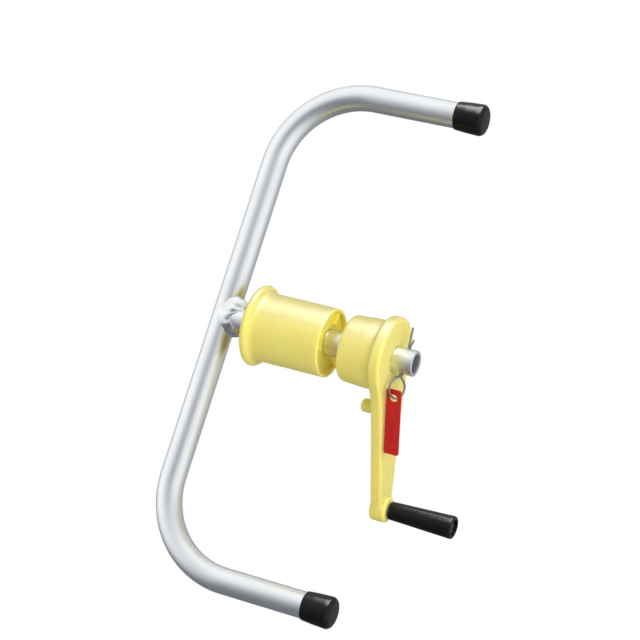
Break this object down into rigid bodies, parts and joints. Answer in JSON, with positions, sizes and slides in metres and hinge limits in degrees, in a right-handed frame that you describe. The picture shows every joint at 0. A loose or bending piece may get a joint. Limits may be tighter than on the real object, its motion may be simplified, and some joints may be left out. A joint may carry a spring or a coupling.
{
  "type": "hand-held fence wire reel",
  "caption": "Hand-held winder for fence wire: C-shaped tube frame, welded axle, two half-drums that hold a spool, crank with turning grip and a spring pin with a tag.",
  "frame": {"origin": "where the axle's axis meets the axis of the back tube, the middle of the grip on the frame", "axes": "+X along the axle towards the crank, +Z along the back tube, +Y to the side that the crank arm swings to at rest"},
  "size_m": [0.2625, 0.1457, 0.5106],
  "materials": {
    "aluminium_tube": "satin mill finish",
    "aluminium_weld": "rippled weld",
    "black_vinyl": "glossy dipped vinyl",
    "yellow_plastic": "satin moulded, pale yellow",
    "black_plastic": "satin moulded",
    "zinc_steel": "zinc plated",
    "spring_wire": "drawn spring wire",
    "red_plastic": "semi-gloss, red"
  },
  "bodies": {
    "frame": {"frame_tube": "aluminium_tube", "axle_tube": "aluminium_tube", "weld_bead": "aluminium_weld", "upper_end_cap": "black_vinyl", "lower_end_cap": "black_vinyl", "axle_collar": "aluminium_tube"},
    "inner_drum": {"inner_drum": "yellow_plastic"},
    "crank": {"crank_drum": "yellow_plastic", "grip_bolt": "zinc_steel", "grip_washer": "zinc_steel", "nut_washer": "zinc_steel", "grip_nut": "zinc_steel"},
    "grip": {"grip_sleeve": "black_plastic"},
    "pin": {"retaining_pin": "spring_wire"},
    "tag": {"red_tag": "red_plastic"}
  },
  "joints": [
    {"name": "inner_drum_spin", "type": "hinge", "parent": "frame", "child": "inner_drum", "pos_m": [0, 0, 0], "axis": [1, 0, 0], "continuous": true},
    {"name": "crank_spin", "type": "hinge", "parent": "frame", "child": "crank", "pos_m": [0, 0, 0], "axis": [1, 0, 0], "continuous": true},
    {"name": "grip_spin", "type": "hinge", "parent": "crank", "child": "grip", "pos_m": [0.2, 0.09394, -0.12741], "axis": [1, 0, 0], "continuous": true},
    {"name": "pin_pull", "type": "slide", "parent": "frame", "child": "pin", "axis": [0, 0, -1], "range_m": [0, 0.046], "deforming": ["retaining_pin"]},
    {"name": "tag_swing", "type": "hinge", "parent": "pin", "child": "tag", "pos_m": [0.189, 0, -0.03579], "axis": [1, 0, 0], "range_deg": [-76, 3]}
  ]
}
